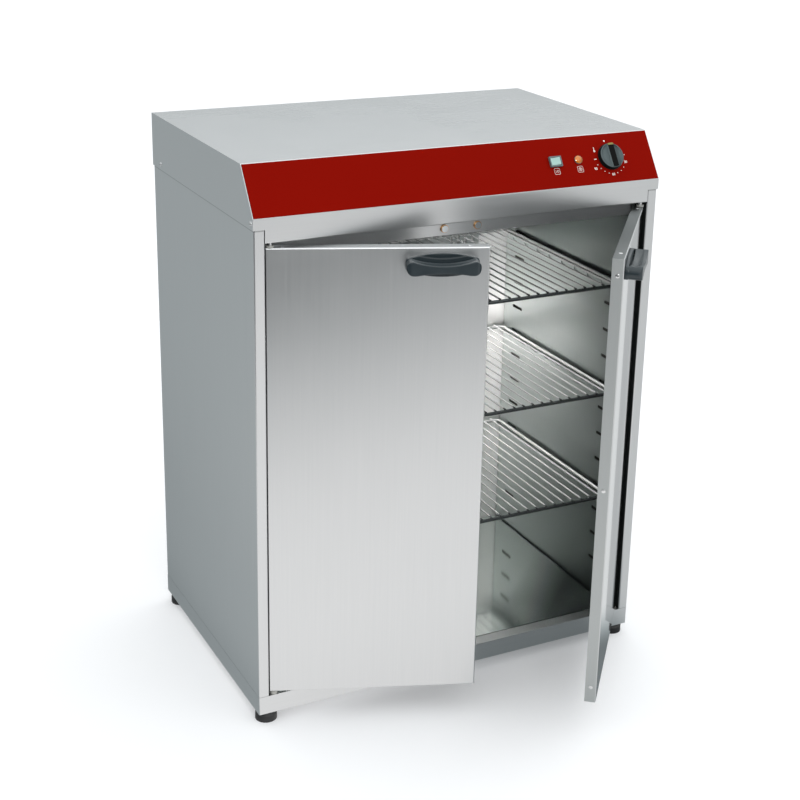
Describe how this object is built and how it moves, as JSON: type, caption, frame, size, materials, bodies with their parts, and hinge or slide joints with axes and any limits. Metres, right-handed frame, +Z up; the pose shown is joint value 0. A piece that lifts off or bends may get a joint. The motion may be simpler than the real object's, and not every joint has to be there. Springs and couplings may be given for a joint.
{
  "type": "food holding cabinet",
  "caption": "Upright heated holding cabinet in folded steel, with a hood, a sloping control fascia, hinged doors with moulded pulls, wire shelves and short feet.",
  "frame": {"origin": "floor plane under the middle of the case, centred between the feet", "axes": "+X to the cabinet's right, -Y to the front where the doors are, +Z up"},
  "size_m": [0.7038, 0.7236, 0.9],
  "materials": {
    "case_steel": "satin",
    "liner_steel": "gloss",
    "fascia_red": "gloss",
    "black_plastic": "gloss",
    "foot_plastic": "matte",
    "wire_chrome": "polished",
    "wool": "matte",
    "zinc": "satin",
    "copper": "satin",
    "magnet_face": "polished",
    "nylon": "matte",
    "heater_tube": "satin",
    "moulding": "matte",
    "ivory": "satin",
    "switch_grey": "satin",
    "rocker_pale": "gloss",
    "amber": "gloss",
    "pointer_yellow": "gloss",
    "bulb_copper": "satin"
  },
  "bodies": {
    "cabinet": {"base_tray": "case_steel", "left_side_panel": "case_steel", "right_side_panel": "case_steel", "back_panel": "case_steel", "front_lintel": "case_steel", "top_hood": "case_steel", "control_fascia": "fascia_red", "liner_left": "liner_steel", "liner_right": "liner_steel", "liner_rear": "liner_steel", "liner_ceiling": "liner_steel", "floor_pan": "liner_steel", "vent_cover": "liner_steel", "insulation_left": "wool", "insulation_right": "wool", "insulation_rear": "wool", "insulation_top": "wool", "heating_element": "heater_tube", "heater_brackets": "zinc", "thermostat_body": "moulding", "sensor_bulb": "bulb_copper", "switch_body": "switch_grey", "lamp_body": "switch_grey", "lamp_lens": "amber", "terminal_block": "ivory", "cable_gland": "black_plastic", "left_hinge_top": "zinc", "left_hinge_low": "zinc", "right_hinge_top": "zinc", "right_hinge_low": "zinc", "magnet_cups": "copper", "magnet_faces": "magnet_face", "runners_left": "liner_steel", "runners_right": "liner_steel", "wire_shelf_low": "wire_chrome", "wire_shelf_middle": "wire_chrome", "wire_shelf_high": "wire_chrome", "feet": "foot_plastic", "foot_nuts": "zinc", "case_screws": "zinc"},
    "left_door": {"left_door_skin": "case_steel", "left_door_inner": "case_steel", "left_door_core": "wool", "left_door_handle": "black_plastic", "left_door_screws": "zinc", "left_door_bushes": "nylon"},
    "right_door": {"right_door_skin": "case_steel", "right_door_inner": "case_steel", "right_door_core": "wool", "right_door_handle": "black_plastic", "right_door_screws": "zinc", "right_door_bushes": "nylon"},
    "knob": {"thermostat_shaft": "zinc", "thermostat_knob": "black_plastic", "knob_pointer": "pointer_yellow"},
    "rocker_paddle": {"rocker": "rocker_pale"}
  },
  "joints": [
    {"name": "left_door_hinge", "type": "hinge", "parent": "cabinet", "child": "left_door", "pos_m": [-0.3217, -0.2225, 0.42], "axis": [0, 0, -1], "range_deg": [-21, 89]},
    {"name": "right_door_hinge", "type": "hinge", "parent": "cabinet", "child": "right_door", "pos_m": [0.3217, -0.2225, 0.42], "axis": [0, 0, 1], "range_deg": [-50.5, 59.5]},
    {"name": "thermostat_turn", "type": "hinge", "parent": "cabinet", "child": "knob", "pos_m": [0.268, -0.20536, 0.86545], "axis": [0, 0.8284, -0.5601], "range_deg": [0, 280]},
    {"name": "rocker_press", "type": "hinge", "parent": "cabinet", "child": "rocker_paddle", "pos_m": [0.165, -0.20619, 0.86601], "axis": [0, 0.5601, 0.8284], "range_deg": [0, 16]}
  ]
}
